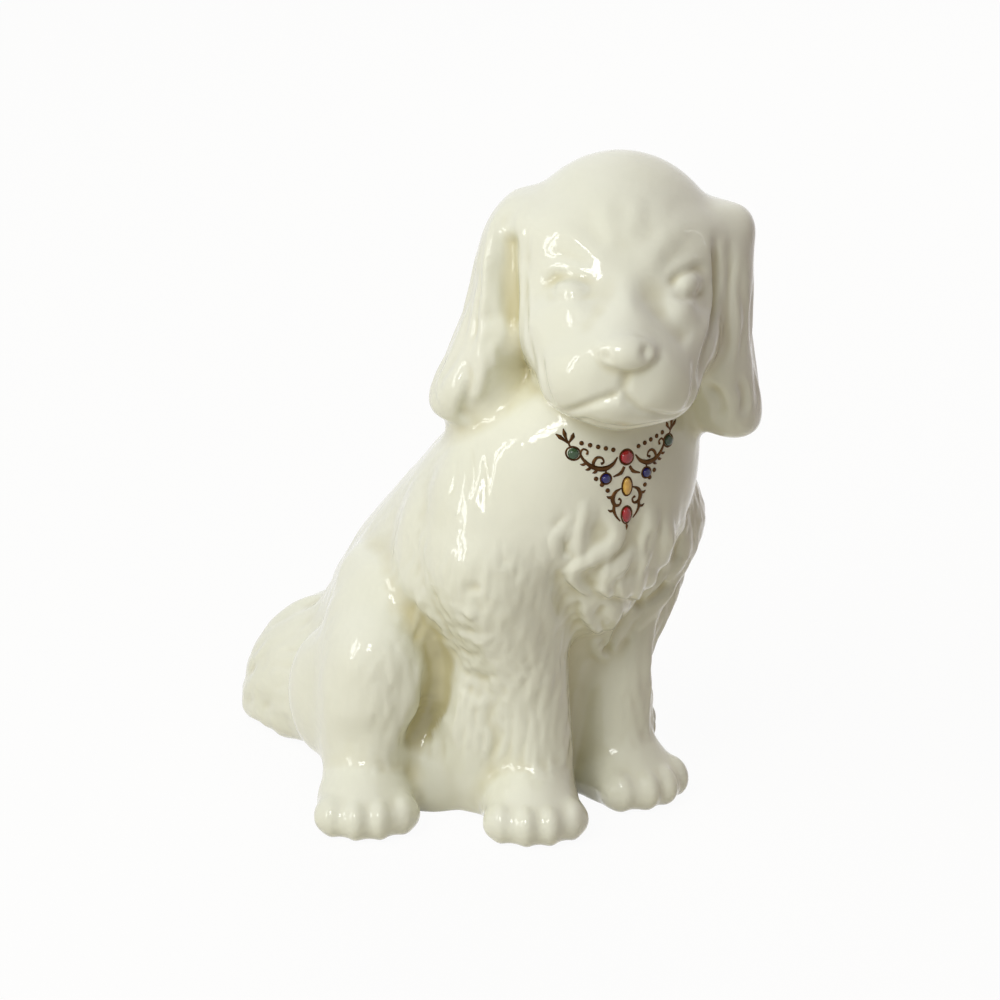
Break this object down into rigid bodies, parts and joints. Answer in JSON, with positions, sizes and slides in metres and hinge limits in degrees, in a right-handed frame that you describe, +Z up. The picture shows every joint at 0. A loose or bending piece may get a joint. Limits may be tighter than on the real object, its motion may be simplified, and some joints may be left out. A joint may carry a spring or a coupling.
{
  "type": "dog figurine",
  "caption": "Seated spaniel puppy figurine in ivory glazed china, hollow, its head turned to one side, with a raised gilt and jewelled necklace on the chest; stands on a shelf.",
  "frame": {"origin": "on the table, in the flat underside of the body, below the middle of the dog's back", "axes": "+Z up; the dog's body faces -Y and its right side is -X; its head is turned towards -X"},
  "size_m": [0.0804, 0.1108, 0.1203],
  "materials": {
    "ivory_china": "glossy transparent glaze over ivory bone china",
    "gilding": "burnished raised gold, seen dark bronze",
    "red_enamel": "glossy translucent enamel",
    "yellow_enamel": "glossy translucent enamel",
    "blue_enamel": "glossy translucent enamel",
    "green_enamel": "glossy translucent enamel"
  },
  "bodies": {
    "root": {"body": "ivory_china", "head": "ivory_china", "right_ear": "ivory_china", "left_ear": "ivory_china", "right_foreleg": "ivory_china", "left_foreleg": "ivory_china", "right_hind_leg": "ivory_china", "left_hind_leg": "ivory_china", "tail": "ivory_china", "red_centre_jewel": "red_enamel", "red_drop_jewel": "red_enamel", "yellow_jewel": "yellow_enamel", "right_blue_jewel": "blue_enamel", "left_blue_jewel": "blue_enamel", "right_green_jewel": "green_enamel", "left_green_jewel": "green_enamel", "right_festoon_scroll": "gilding", "left_festoon_scroll": "gilding", "right_pendant_scroll": "gilding", "left_pendant_scroll": "gilding", "right_sprig": "gilding", "left_sprig": "gilding", "gilt_beads": "gilding"}
  },
  "joints": []
}
